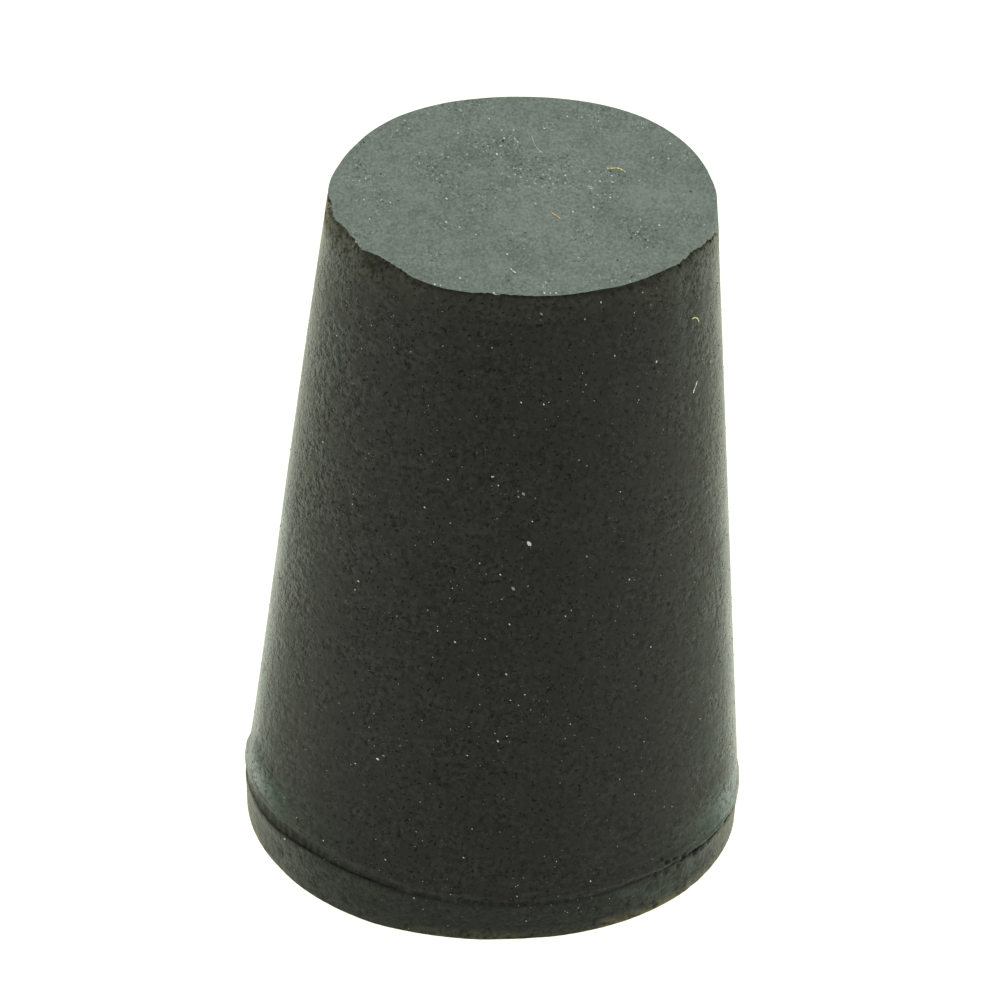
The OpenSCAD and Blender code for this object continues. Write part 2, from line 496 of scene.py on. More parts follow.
# Share of dark dirt with painted shade and of olive-brown stain in the crease, and how far they
# reach up the lip
CREASE_DIRT_AND_SHADE = (
    (-180, 0.02, 0.4, 0.6), (-172, 0.02, 0.45, 0.6), (-160, 0.18, 0.42, 0.62),
    (-150, 0.4, 0.25, 0.65), (-138, 0.45, 0.1, 0.55), (-125, 0.3, 0, 0.4), (-112, 0.3, 0, 0.25),
    (-100, 0.5, 0, 0.25), (-84, 0.5, 0, 0.25), (-70, 0.4, 0, 0.2), (-58, 0.3, 0, 0.15),
    (-46, 0.12, 0, 0.12), (-38, 0.1, 0, 0.09), (-5, 0.15, 0, 0.08), (20, 0.3, 0, 0.15),
    (150, 0.4, 0, 0.3), (180, 0.02, 0.4, 0.6),
)
# Chips along the crease and band, with painted shade: direction, height, radius and depth
CREASE_CHIPS = (
    (-46.7, 2.03, 0.11, 0.03), (-44.9, 1.81, 0.15, 0.04), (-45.1, 1.46, 0.2, 0.05),
    (-42.4, 1.77, 0.15, 0.04), (-39.2, 1.66, 0.17, 0.05), (-36.8, 1.56, 0.12, 0.04),
    (-35.0, 1.5, 0.19, 0.06), (-32.2, 1.44, 0.17, 0.05), (-29.0, 1.42, 0.13, 0.04),
    (-41.0, 1.4, 0.14, 0.04), (-48.5, 1.52, 0.15, 0.04), (-56.3, 1.05, 0.13, 0.03),
    (-51.4, 0.92, 0.12, 0.03), (-57.9, 0.97, 0.1, 0.03), (-142.7, 1.2, 0.15, 0.03),
    (-146.6, 0.86, 0.1, 0.03), (-150.6, 0.7, 0.1, 0.03), (-148.0, 0.83, 0.11, 0.03),
    (-138.8, 1.34, 0.1, 0.03), (-119.6, 0.82, 0.11, 0.03), (-117.8, 0.97, 0.09, 0.03),
)
# How strongly the skin of the wall is pitted, high up and low down
SKIN = (
    (-180, 1.1, 1.1), (-166, 1.0, 0.9), (-156, 0.9, 0.42), (-140, 0.85, 0.42), (-125, 0.75, 0.52),
    (-100, 0.75, 0.75), (-60, 0.5, 0.5), (-38, 0.55, 0.36), (-24, 0.6, 0.42), (-14, 0.8, 0.8),
    (0, 0.9, 0.85), (90, 0.8, 0.8), (180, 1.1, 1.1),
)
# Rubbed (+) and clean (-) places on the small end: the middle's x and y, the radius, and by
# how much
RUBS = (
    (-2.6, 1.7, 1.3, 0.08), (-0.2, 3.3, 1.1, 0.09), (-1.2, 2.5, 1.0, 0.06), (-1.0, 2.0, 3.2, 0.03),
    (3.3, -1.0, 0.9, 0.08), (4.2, -2.0, 1.1, 0.1), (4.9, -2.7, 0.9, 0.09), (3.4, 1.2, 1.1, 0.07),
    (-2.4, 0.7, 0.7, 0.06), (5.4, 2.9, 0.8, 0.06), (0.4, -3.8, 0.9, 0.05), (1.2, -0.6, 1.0, 0.04),
    (-4.3, -0.7, 0.8, 0.04), (0.4, 1.2, 1.2, 0.04), (-1.0, -2.3, 1.2, 0.03), (5.4, 0.2, 2.0, -0.11),
    (-4.6, -2.1, 1.9, -0.02), (1.4, -5.2, 2.2, -0.02),
)

RING = (np.arange(AROUND) * 360 / AROUND + 180) % 360 - 180  # the direction of each step
# Offsets in degrees, and weights, that take the corners off the tables' lines
SOFTENING = ((-1.2, 1 / 12), (-0.6, 3 / 12), (0, 4 / 12), (0.6, 3 / 12), (1.2, 1 / 12))
# Ragged swings: how strong they are, the degrees that one takes, and their seed
ROUGH, ROUGHER, SLOW = (1, 1.1, 3.1), (0.6, 0.5, 7.7), (1, 9, 1.7)
CREASE_BREAKS, CREASE_FRAY = (0.7, 4, 5.3), (1.1, 2.2, 4.1)
ROLL_FRAY, WANDER_FRAY = (1, 1.8, 6.3), (0.06, 1.6, 2.9)
# Stretches: where each begins, is full, begins to fade and ends, in degrees
BURR_LEFT, BURR_RIGHT = (-179, -172, -150, -130), (-50, -30, -5, 5)
BROKEN, FRAYED = (-115, -95, -70, -55), (-62, -45, -18, -8)
FLAP_ROUND = (178.5, 181, 184.5, 191)
# The same up from the crease and down from the rim, in mm
FLAP_UP, GROOVE_DOWN = (0.1, 0.4, 0.72, 1.05), (0, 0.04, 0.07, 0.2)

# Sizes of the wear in mm, after the slope of the chips' faces
CHIP_SLOPE = math.tan(math.radians(24))  # out for each unit down
CHIP_CORNER, CORNER_DOWN = 0.12, (0, 0.2)  # how softly they turn into the wall, and where
LEAST_CORNER = 1e-4
SHIFT_REACH = 6.0  # below the rim, over which the wall takes up the rim's shape
LEDGE_REACH = 3.0  # below the rim, over which the wall takes up the finish's run
FRAY_REACH = (0.02, 0.2)  # below the rim, where its fray fades
CHIP_FRAY, RIM_FRAY, LEDGE_FRAY, FOOT_FRAY = 0.03, 0.007, 0.065, 0.008  # how ragged each is
GROOVE_FRAY = 0.5  # a share of the groove's depth
FRAYED_DEPTH = (0, 0.05)  # of a chip or a ledge, over which it becomes ragged
END_SHARE, FOOT_SHARE = 6, 4  # powers by which rings follow the rim's and the foot's shape
FOOT_EVENED, FOOT_NICKS_UP = 0.6, (0.05, 0.3)  # share gone at the crease, and where nicks fade
BURR, BURR_UP = 0.035, (-0.5, -0.15)  # of the band's upper edge, and where it rises
FLAP = 0.12  # how far the lip's small flap at the left stands out
WAVE, WAVE_REACH = 0.006, (0.4, 1.4)  # of the lip, and where it fades above the crease
WANDER = 0.01  # of the crease, beside its table
FOOT_STILL = 0.12  # the foot's height, which the crease's wandering leaves alone
FLAT, FLAT_REACH = 0.035, (7, 14)  # of the wall low on the left, and where it fades
FLAT_UP, FLAT_SIDE = (0, 2), (0.5, 1)  # where it begins above the crease, and how far left
CHIP_LONG, CHIP_FLOOR = 1.3, 0.45  # a crease chip's length in heights, and its floor's share

# Where the marks fade, in mm: below the rim, above the crease, above the foot, in from the
# foot's edge, and up the wall between its lower and its upper skin
RIM_STAIN_DOWN, RIM_SHADOW_DOWN, RIM_BLOOM_DOWN, RIM_SKIN_DOWN = (
    (0.5, 1.2), (0.06, 0.16), (0.3, 1.6), (0.4, 1.8)
)
CREASE_UP, BAND_BLOOM_UP, LIP_HIGHLIGHT_UP = (-0.05, 0), (-0.12, -0.02), (0.9, 2.2)
FOOT_STAIN_UP, FOOT_EDGE, SKIN_UP = (0.06, 0.42), (-1.135, -0.335), (5, 17)
LIP_HIGHLIGHT_RISE, SIDES = 0.3, (0.5, 0.9)  # the sides are how far left or right the skin is rough
CREASE_FULL, RUB_FULL = 0.4, 0.15  # shares of a mark's reach within which it is whole
# How strong they are; how ragged the crease's dirt and painted shade and the rim's painted shadow
# are
FOOT_STAINED, EDGE_STAINED, RIM_BLOOMED, CHIP_SHADE, SIDE_SKIN = 0.6, 0.08, 0.7, 0.85, 0.3
CREASE_DARKENING_FRAY, RIM_SHADOW_FRAY = 1.3, 0.35


def by_direction(table, rows):
    """The table's values in each point's direction, smooth between its entries."""
    at, *columns = (np.array(column, float) for column in zip(*table))
    found = [
        sum(weight * np.interp((RING + off + 180) % 360 - 180, at, values)
            for off, weight in SOFTENING)[rows["step"]]
        for values in columns
    ]
    return found[0] if len(found) == 1 else found


def ragged(rows, strength, pitch, seed):
    """An uneven value round the body, with one swing in about pitch degrees."""
    radius = 180 / math.pi / pitch
    return strength * np.array([
        noise.noise((radius * math.cos(a), radius * math.sin(a), seed)) for a in np.radians(RING)
    ])[rows["step"]]


def rise(value, start, end):
    """0 before start and 1 after end, smooth between them."""
    share = np.clip((value - start) / (end - start), 0, 1)
    return share * share * (3 - 2 * share)


def fall(value, start, end):
    """1 before start and 0 after end, smooth between them."""
    return 1 - rise(value, start, end)


def stretch(value, start, full, fading, end):
    """0 before start and after end and 1 from full to fading, smooth between them."""
    return rise(value, start, full) * fall(value, fading, end)


def softly_less(a, b, width):
    """The lesser of two values, with the corner between them rounded over width."""
    share = np.clip(0.5 + 0.5 * (b - a) / width, 0, 1)
    return b + (a - b) * share - width * share * (1 - share)


def read_rows(mesh, sizes):
    """The turned form's points in mm, and what each point knows of its row and direction.

    Its height, its depth below the small end and how far it is above the crease are in mm on
    the moulded axis. Its rough value swings in about a degree, and its slow one in nine.
    """
    rows = {name: read(mesh.attributes[name].data, "value").astype(float) for name in CARRIED}
    place = read(mesh.vertices, "co", width=3).reshape(-1, 3).astype(float) / MM
    rows["height"] /= MM
    rows["depth"] = sizes.body_length / MM - rows["height"]
    rows["above"] = rows["height"] - sizes.band_height / MM
    rows["end"], rows["wall"], rows["band"] = (np.round(rows["finish"]) == i for i in range(3))
    rows["step"] = np.round(rows["turn"] / math.tau * AROUND).astype(int) % AROUND
    rows["degrees"] = RING[rows["step"]]
    rows["out"] = np.stack([np.cos(rows["turn"]), np.sin(rows["turn"])], 1)
    rows["rough"] = ragged(rows, *ROUGH) + ragged(rows, *ROUGHER)
    rows["slow"] = ragged(rows, *SLOW)
    return place, rows


def wear_rim(place, rows, sizes):
    """Chips the rim of the small end and lets the trimmed finish run down over it."""
    depth, out, rough = rows["depth"], rows["out"], rows["rough"]
    chips, ledge, shift, groove = (
        by_direction(table, rows) for table in (RIM_CHIPS, RIM_LEDGE, RIM_OUT_OF_ROUND, RIM_GROOVE)
    )
    fray = CHIP_FRAY * rough * rise(chips, *FRAYED_DEPTH) + RIM_FRAY * rough
    ledge = np.maximum(0, ledge + LEDGE_FRAY * rough * rise(ledge, *FRAYED_DEPTH))
    groove = groove * (1 + GROOVE_FRAY * rough)
    chips, fray, ledge, shift, groove = (
        values * sizes.wear for values in (chips, fray, ledge, shift, groove)
    )
    slope = wall_slope(sizes)

    # The small end: its outer rings follow the chipped rim
    edge = rows["row"] == EDGE_ROW
    end = rows["end"] & ~edge
    cut = np.maximum(0, chips + fray)
    place[end, :2] += out[end] * ((shift - cut) * rows["cap"] ** END_SHARE)[end, None]

    # The wall near the rim: slid down by the ledge, then moved out, then cut by the chips
    wall = edge | (rows["wall"] & (depth < TRIM_REACH))
    deeper = ledge * np.clip(1 - depth / LEDGE_REACH, 0, 1)
    place[wall, 2] -= deeper[wall]
    frayed = np.maximum(0, chips + fray * fall(depth, *FRAY_REACH))
    push = slope * deeper + shift * fall(depth, 0, SHIFT_REACH)
    allowed = shift - frayed + (depth + deeper) * (CHIP_SLOPE - slope) + slope * deeper
    push = softly_less(push, allowed, CHIP_CORNER * rise(depth, *CORNER_DOWN) + LEAST_CORNER)
    push -= groove * stretch(depth, *GROOVE_DOWN)
    place[wall, :2] += out[wall] * push[wall, None]


def wear_foot(place, rows, sizes):
    """Makes the foot uneven at its edge, less so at the crease, where it has a burr."""
    foot, above, degrees, height = rows["band"], rows["above"], rows["degrees"], place[:, 2]
    uneven = by_direction(FOOT_OUT_OF_ROUND, rows) * sizes.wear
    inner = np.clip(np.hypot(place[:, 0], place[:, 1]) * MM / foot_radius(sizes), 0, 1)
    inner = inner ** FOOT_SHARE
    fade = 1 - FOOT_EVENED * rise(height, 0, sizes.band_height / MM)
    nicked = FOOT_FRAY * rows["rough"] * fall(height, *FOOT_NICKS_UP)
    burr = BURR * rise(above, *BURR_UP)
    burr *= stretch(degrees, *BURR_LEFT) + stretch(degrees, *BURR_RIGHT)
    depth, reach = by_direction(BAND_ROUND, rows)
    rounded = depth * np.clip(1 + above / reach, 0, 1) ** 2
    push = (uneven * fade + nicked) * inner + burr - rounded
    place[foot, :2] += rows["out"][foot] * push[foot, None]


def shape_lip(place, rows, sizes):
    """Gives the lip its own swell in each direction, a small flap, and a wandering crease."""
    out, height, above, degrees = (rows[name] for name in ("out", "height", "above", "degrees"))
    wall, slow, crease = rows["wall"], rows["slow"], sizes.band_height / MM
    proud, fade, deep, roll = by_direction(LIP_ROUND, rows)
    # The crease is broken in front, and frayed at the front right
    frayed = stretch(degrees, *FRAYED)
    deep = deep * (1 + ragged(rows, *CREASE_BREAKS) * stretch(degrees, *BROKEN)
                   + ragged(rows, *CREASE_FRAY) * frayed)
    roll = roll * (1 + ragged(rows, *ROLL_FRAY) * frayed)
    off = lip_offset(above, proud, fade, deep, roll)
    flap = stretch((degrees + 360) % 360, *FLAP_ROUND) * stretch(above, *FLAP_UP)
    off += flap * np.maximum(0, FLAP - off)
    off += WAVE * slow * fall(above, *WAVE_REACH)
    lip = wall & (above < LIP_REACH)
    shift = off - lip_offset(above, *mean_lip(sizes))
    place[lip, :2] += out[lip] * shift[lip, None]
    # The crease takes the band and the lip with it, up and down
    wander = by_direction(CREASE_WANDER, rows) + WANDER * slow
    wander += ragged(rows, *WANDER_FRAY) * frayed
    share = np.where(above > 0, fall(above, 0, LIP_REACH), rise(height, FOOT_STILL, crease))
    near = above < LIP_REACH
    place[near, 2] += (wander * share)[near]
    # The wall is a little flat low on the left
    flat = FLAT * rise(-out[:, 0], *FLAT_SIDE) * fall(height, *FLAT_REACH) * rise(above, *FLAT_UP)
    side = wall & (above > 0)
    place[side, :2] -= out[side] * flat[side, None]


def chip_crease(place, rows, sizes):
    """Cuts the small chips along the crease, and gives how deep in one each point is, 0..1."""
    inside = np.zeros(len(place))
    for degrees, height, radius, depth in CREASE_CHIPS:
        along = np.radians((rows["degrees"] - degrees + 180) % 360 - 180) * sizes.large_d / 2 / MM
        off = np.hypot(along, CHIP_LONG * (place[:, 2] - height)) / radius
        chip = fall(off, CHIP_FLOOR, 1)
        inside = np.maximum(inside, chip)
        place[:, :2] -= rows["out"] * (depth * chip)[:, None]
    return inside


def marks(place, rows, sizes, chipped):
    """How stained, dirty, bloomed, pitted and rubbed each point is, with painted shade and
    highlight.
    """
    end, wall, band, rough, depth, above = (
        rows[name] for name in ("end", "wall", "band", "rough", "depth", "above")
    )
    at_foot, on_band, at_rim, rim_painted_shadow, band_bloom, lip_painted_highlight, crease_dirt_and_shade, skin = (
        by_direction(table, rows) for table in (
            FOOT_STAIN, BAND_STAIN, RIM_STAIN, RIM_PAINTED_SHADOW, BAND_BLOOM, LIP_PAINTED_HIGHLIGHT, CREASE_DIRT_AND_SHADE, SKIN,
        )
    )
    x, y, height = place.T
    near_edge = rise(np.hypot(x, y) - foot_radius(sizes) / MM, *FOOT_EDGE)
    soiled_and_shaded, browned, reach = crease_dirt_and_shade
    in_crease = wall * fall(above, CREASE_FULL * reach, reach) * rise(above, *CREASE_UP)
    stain = FOOT_STAINED * at_foot * fall(height, *FOOT_STAIN_UP) * near_edge + on_band * band
    stain += at_rim * wall * fall(depth, *RIM_STAIN_DOWN) + browned * in_crease
    stain += EDGE_STAINED * (rows["row"] == EDGE_ROW)
    # Dark dirt and painted shade in the crease, a painted shadow in a thin broken line under the
    # rim, and painted shade in the chips
    dirt = soiled_and_shaded * (1 + CREASE_DARKENING_FRAY * rough) * in_crease
    dirt += (rim_painted_shadow + RIM_SHADOW_FRAY * rough) * fall(depth, *RIM_SHADOW_DOWN)
    dirt = np.minimum(1, np.maximum(0, dirt) * wall + CHIP_SHADE * chipped * ~end)
    # The lip's painted highlight is added to the bloom mark
    share, start = lip_painted_highlight
    bloom = band_bloom * band * near_edge * fall(above, *BAND_BLOOM_UP)
    bloom += RIM_BLOOMED * at_rim * wall * fall(depth, *RIM_BLOOM_DOWN)
    bloom += share * wall * rise(above, start, start + LIP_HIGHLIGHT_RISE) * fall(above, *LIP_HIGHLIGHT_UP)
    high, low = skin
    skin = low + (high - low) * rise(height, *SKIN_UP)
    skin += SIDE_SKIN * rise(np.abs(rows["out"][:, 0]), *SIDES) * fall(depth, *RIM_SKIN_DOWN)
    rubbed = sum(
        end * share * fall(np.hypot(x - at_x, y - at_y) / radius, RUB_FULL, 1)
        for at_x, at_y, radius, share in RUBS
    )
    return {"stain": stain, "dirt": dirt, "bloom": bloom, "skin": skin, "rubbed": rubbed}


def worn(mesh, sizes):
    """Moves the turned form's points for its wear; marks its stain, bloom, painted shade and
    highlight.
    """
    place, rows = read_rows(mesh, sizes)
    for wear in (wear_rim, wear_foot, shape_lip):
        wear(place, rows, sizes)
    chipped = chip_crease(place, rows, sizes)
    mesh.vertices.foreach_set("co", (place * MM).astype(np.float32).ravel())
    for name, values in marks(place, rows, sizes, chipped).items():
        kept = mesh.attributes.new(name, "FLOAT", "POINT")
        kept.data.foreach_set("value", values.astype(np.float32))
    mesh.update()


def give_finishes(mesh):
    """Sets each face's material slot from its rows."""
    finish = np.round(read(mesh.attributes["finish"].data, "value")).astype(np.int32)
    corners = read(mesh.loops, "vertex_index", np.int32)
    slots = np.maximum.reduceat(finish[corners], read(mesh.polygons, "loop_start", np.int32))
    mesh.polygons.foreach_set("material_index", slots)
    for name in CARRIED:
        mesh.attributes.remove(mesh.attributes[name])
    mesh.shade_smooth()
    mesh.set_sharp_from_angle(angle=SHARP)


# ---------------------------------------------------------------- materials

GRAIN_TURN = math.radians(-32)  # of the grain's long side, from level, down to the front
GRAIN_LENGTH = 2.6  # of the grain's long side, in widths


def new_material(name, *marked):
    """An empty node material, its tree, and the values of the marks that it reads."""
    material = bpy.data.materials.new(name)
    material.use_nodes = True
    tree = material.node_tree
    tree.nodes.clear()
    found = [
        add(tree, "ShaderNodeAttribute", attribute_name=mark).outputs["Fac"] for mark in marked
    ]
    return material, tree, *found


def rubber_grain(tree, roughness, *patterns):
    """Noises drawn out along the rubber's grain; each has its width in mm and its detail."""
    spread = add(tree, "ShaderNodeMapping", {
        "Vector": add(tree, "ShaderNodeTexCoord").outputs["Object"],
        "Rotation": (GRAIN_TURN, 0, 0), "Scale": (1, GRAIN_LENGTH, 1),
    }, vector_type="TEXTURE")
    return [
        add(tree, NOISE, {
            "Vector": spread, "Scale": per_mm(width), "Detail": detail, "Roughness": roughness,
        }) for width, detail in patterns
    ]


def coated(tree, colour, *coats):
    """A colour under coats: each is its own colour and what its cover is the product of."""
    for coat, cover, *factors in coats:
        for factor in factors:
            cover = add(tree, MATH, (cover, factor), operation="MULTIPLY")
        colour = add(tree, "ShaderNodeMix", {FACTOR: cover, UNDER: colour, OVER: coat},
                     data_type="RGBA")
    return colour


def set_surface(tree, colour, roughness, specular, *reliefs):
    """Closes a material's tree; each relief is a pattern and its height in mm."""
    normal = (0, 0, 0)
    for pattern, height in reliefs:
        normal = add(tree, "ShaderNodeBump", {
            "Distance": height * MM, "Height": pattern, "Normal": normal,
        })
    shader = add(tree, "ShaderNodeBsdfPrincipled", {
        "Base Color": colour, "Roughness": roughness, "Specular IOR Level": specular,
        "Normal": normal,
    })
    add(tree, "ShaderNodeOutputMaterial", {"Surface": shader})


def moulded_wall(finish):
    """Compression-moulded black rubber.

    A near-black body under a thin dusty skin: its colour is dark facing the eye and is painted
    paler at a glancing angle, a painted sheen in which the fine pitted grain and a bloom, green in
    some places and olive in others, show. A painted highlight lies on the outline low down and on
    the lip.
    """
    # The bloom mark also holds the lip's painted highlight, and the dirt mark painted shade
    material, tree, bloom, stain, dirt, skin = new_material(
        "rubber_moulded_wall", "bloom", "stain", "dirt", "skin"
    )
    # Pits and bumps of the mould's blasted skin, in calm and rough patches. At 0.18 mm across
    # they are as coarse as they need to be to show
    blotches, patches, waves, grain, holes = rubber_grain(
        tree, 0.62, (2.5, 3), (0.9, 2), (1.0, 2), (0.18, 2), (0.1, 0)
    )
    rough = add(tree, RANGE, (patches, 0.36, 0.66, 0.45, 1.7))
    coarse = add(tree, MATH, (skin, rough), operation="MULTIPLY")
    lifted = add(tree, MATH, (grain, 0.5), operation="SUBTRACT")
    pits = add(tree, MATH, (lifted, coarse, 0.5), operation="MULTIPLY_ADD")
    # Flow lines from moulding, 0.16 mm apart, round the wall just above the foot
    place = add(tree, "ShaderNodeTexCoord").outputs["Object"]
    lines = add(tree, NOISE, {
        "Vector": add(tree, "ShaderNodeMapping", {
            "Vector": place, "Scale": (per_mm(1.6), per_mm(1.6), per_mm(0.16)),
        }), "Scale": 1, "Detail": 3, "Roughness": 0.6,
    })
    height = add(tree, "ShaderNodeSeparateXYZ", {"Vector": place}).outputs["Z"]
    low = add(tree, RANGE, (height, 4.2 * MM, 1.8 * MM, 0.08, 1),
              interpolation_type="SMOOTHSTEP")
    # How far the surface turns from the eye, which paints the sheens and the outline's highlight
    facing = add(tree, "ShaderNodeLayerWeight", {"Blend": 0.5}).outputs["Facing"]
    ramps = {name: add(tree, RANGE, ends) for name, ends in {
        "speckle": (pits, 0.34, 0.66),
        "patch": (blotches, 0.35, 0.65, 0.85, 1.15),
        "streak": (lines, 0.35, 0.65, -0.35, 0.35),
        "turned away": (facing, 0.12, 0.45),
        "green": (waves, 0.35, 0.49),
        "painted_sheen": (pits, 0.38, 0.62),
        "glancing": (facing, 0.48, 0.68, 0, 0.9),
        "outline": (facing, 0.74, 0.89),
        "lower half": (height, 16.8 * MM, 13.4 * MM, 0.02, 1),
        "chalk": (pits, 0.34, 0.6, 0.4, 1),
        "uneven": (pits, 0.38, 0.6, 0.15, 1),
        # Dims the bloom and the lip's painted highlight to an eye straight above: a painted sheen
        "powder": (facing, 0.2, 0.52, 0.3, 1),
        "painted lip highlight": (bloom, 0.9, 1.6),
        "thick stain": (stain, 0.9, 1.3),
        "painted_pit_shade": (holes, 0.3, 0.24),
        "rough skin": (skin, 0.35, 0.6, 0.35, 0.95),
        "matt": (blotches, 0.3, 0.7, 0.2, 0.28),
    }.items()}
    streaked = add(tree, MATH, (ramps["streak"], low, ramps["patch"]), operation="MULTIPLY_ADD")
    body = coated(tree, shade(finish.wall, 0.58),
                  (shade(finish.wall, 1.4), ramps["speckle"], streaked))
    # A painted sheen: at a glancing angle the skin's colour turns to a thin film, green and olive
    hue = coated(tree, shade(finish.stain, 0.5), (shade(finish.bloom, 0.9), ramps["green"]))
    painted_sheen = coated(tree, shade(finish.wall, 0.2), (hue, ramps["painted_sheen"]))
    # Where the bloom mark is thick it is the lip's painted highlight, paler than thin bloom, and
    # thick stain is a chalky tan
    pale = coated(tree, shade(finish.bloom, 1.3),
                  (shade(finish.trimmed, 1.3), ramps["painted lip highlight"]))
    brown = coated(tree, shade(finish.stain),
                   (shade(finish.rub, 0.5), ramps["thick stain"], ramps["uneven"]))
    # From the body out: a painted sheen that pales the dusty skin as it turns from the eye, a
    # second painted sheen of a film at a glancing angle, a painted highlight at the outline of the
    # lower half, the bloom with the lip's painted highlight, dimmed as a painted sheen for an eye
    # straight above it, the stain, the dark dirt with painted shade and shadow, and painted shade
    # in the pits
    colour = coated(
        tree, body,
        (shade(finish.wall, 2.2), ramps["speckle"], ramps["turned away"]),
        (painted_sheen, ramps["glancing"]),
        (shade(finish.trimmed, 1.35), ramps["outline"], ramps["lower half"], ramps["chalk"]),
        (pale, bloom, ramps["uneven"], ramps["powder"]),
        (brown, stain, ramps["uneven"]),
        (shade(finish.wall, 0.3), dirt),
        # Painted shade in the pits of the rough skin
        (shade(finish.wall, 0.2), ramps["painted_pit_shade"], ramps["rough skin"]),
    )
    soiled_and_shaded = add(tree, MATH, (stain, dirt), operation="ADD")
    dull = add(tree, MATH, (soiled_and_shaded, 0.4, ramps["matt"]), operation="MULTIPLY_ADD", use_clamp=True)
    lined = add(tree, MATH, (lines, low), operation="MULTIPLY")
    set_surface(tree, colour, dull, 0.065, (pits, 0.08), (lined, 0.05), (waves, 0.05))
    return material


def trimmed_end(finish):
    """Knife-trimmed rubber with a grey bloom.

    A flat, powdery blue-grey with a fine mottle, and a few rubbed places that are darker and
    more speckled.
    """
    material, tree, rubbed, stain = new_material("rubber_trimmed_end", "rubbed", "stain")
    # The cut's grain, 0.1 mm across, is as coarse as it needs to be to show
    clouds, mottle, grain, specks, hosts = rubber_grain(
        tree, 0.6, (3.0, 2), (0.45, 3), (0.1, 1), (0.09, 1), (1.3, 3)
    )
    tone = 0.0
    for pattern, weight in ((clouds, 3.4), (mottle, 4.8), (grain, 9.0), (rubbed, -10.0)):
        tone = add(tree, MATH, (pattern, weight, tone), operation="MULTIPLY_ADD")
    # Fine specks gather in the rubbed places and in a few others
    pale, light, dark, host = (add(tree, RANGE, ends) for ends in (
        (tone, 5.95, 10.95), (specks, 0.65, 0.88), (specks, 0.42, 0.24),
        (hosts, 0.48, 0.64, 0.15, 0.95),
    ))
    gathered = add(tree, MATH, (rubbed, 6.0, host), operation="MULTIPLY_ADD", use_clamp=True)
    colour = coated(
        tree, shade(finish.trimmed, 0.66),
        (shade(finish.trimmed, 1.32), pale),
        (shade(finish.dust), gathered, light),
        (shade(finish.crumbs), gathered, dark),
        (shade(finish.rub, 0.7), stain),
    )
    set_surface(tree, colour, 0.75, 0.3, (grain, 0.012))
    return material


def foot_band(finish):
    """Die-cut rubber.

    A slightly rougher black than the moulded wall, with patches of grey-green bloom, dark
    scuffs and nicks, and an olive-brown rub along its foot.
    """
    material, tree, bloom, stain, dirt = new_material(
        "rubber_die_cut_band", "bloom", "stain", "dirt"
    )
    blotches, rubs, scuffs, grain = rubber_grain(
        tree, 0.6, (0.9, 3), (0.6, 2), (0.28, 3), (0.14, 2)
    )
    speckle, patch, scuffed, rubbed, uneven, nicked = (add(tree, RANGE, ends) for ends in (
        (grain, 0.34, 0.66), (blotches, 0.36, 0.58), (scuffs, 0.36, 0.52), (rubs, 0.44, 0.54),
        (scuffs, 0.38, 0.58, 0.1, 1.2), (scuffs, 0.4, 0.32),
    ))
    hue = coated(tree, shade(finish.bloom, 0.7), (shade(finish.bloom, 1.1), rubbed))
    colour = coated(
        tree, shade(finish.band, 0.65),
        (shade(finish.band, 1.3), speckle),
        (hue, patch, scuffed, bloom),
        (shade(finish.stain, 1.2), stain, uneven),
        (shade(finish.band, 0.3), nicked),
        # Painted shade in the chips along the crease
        (shade(finish.band, 0.5), dirt),
    )
    set_surface(tree, colour, 0.38, 0.15, (grain, 0.028), (scuffs, 0.05))
    return material


def powder(name, tint, darkest):
    """Loose mineral grains: matt, and each lighter or darker than the next by its tone."""
    material, tree, tone = new_material(name, "tone")
    set_surface(tree, coated(tree, shade(tint, darkest), (shade(tint), tone)), 0.9, 0.2)
    return material


def cotton(name, tint):
    """Cotton lint: a matt twisted fibre, with a painted highlight where it bulges."""
    material, tree = new_material(name)
    place = add(tree, "ShaderNodeTexCoord").outputs["Object"]
    twist = add(tree, NOISE, {"Vector": place, "Scale": per_mm(0.08), "Detail": 1})
    painted_bulge_highlight = add(tree, RANGE, (twist, 0.35, 0.65))
    set_surface(tree, coated(tree, shade(tint, 0.5), (shade(tint, 1.2), painted_bulge_highlight)), 0.8, 0.3)
    return material


# ---------------------------------------------------------------- dust and lint

# Grains that stand out on the small end: x and y in mm, and radius in thousandths of a mm
END_GRAINS = (
    (-0.37, 2.63, 46), (-1.49, -5.56, 44), (-2.04, -0.41, 42), (2.96, -0.73, 41), (2.26, -1.05, 39),
    (-2.02, -1.95, 39), (0.07, -3.94, 38), (-0.14, 3.72, 38), (5.19, -1.79, 38), (3.52, -0.05, 36),
    (0.32, 3.49, 36), (1.23, 4.45, 35), (3.17, 1.01, 34), (-0.24, 3.2, 33), (-3.94, -0.76, 33),
    (5.5, 2.65, 33), (-1.56, -2.26, 33), (3.57, 1.39, 32), (2.81, 1.65, 32), (-1.72, 3.98, 32),
    (2.02, 5.31, 31), (-0.67, 5.0, 31), (2.51, 5.26, 31), (0.99, -0.58, 31), (3.6, 0.98, 31),
    (5.56, 3.64, 31), (-1.39, 2.58, 30), (0.18, 4.28, 30), (-4.84, -0.62, 30), (-4.62, -1.87, 30),
    (4.97, 2.68, 29), (-2.4, 0.89, 28), (-1.0, -2.71, 28), (-0.23, 4.26, 28), (-3.57, 4.75, 28),
    (-0.69, 3.17, 28), (4.55, -1.47, 28), (0.27, 1.3, 27), (-3.02, 1.9, 24), (1.35, -6.38, 44),
    (1.74, -6.36, 40), (1.55, -6.37, 30), (-2.33, -6.0, 42), (-2.14, -6.06, 32), (-0.34, -6.46, 36),
)
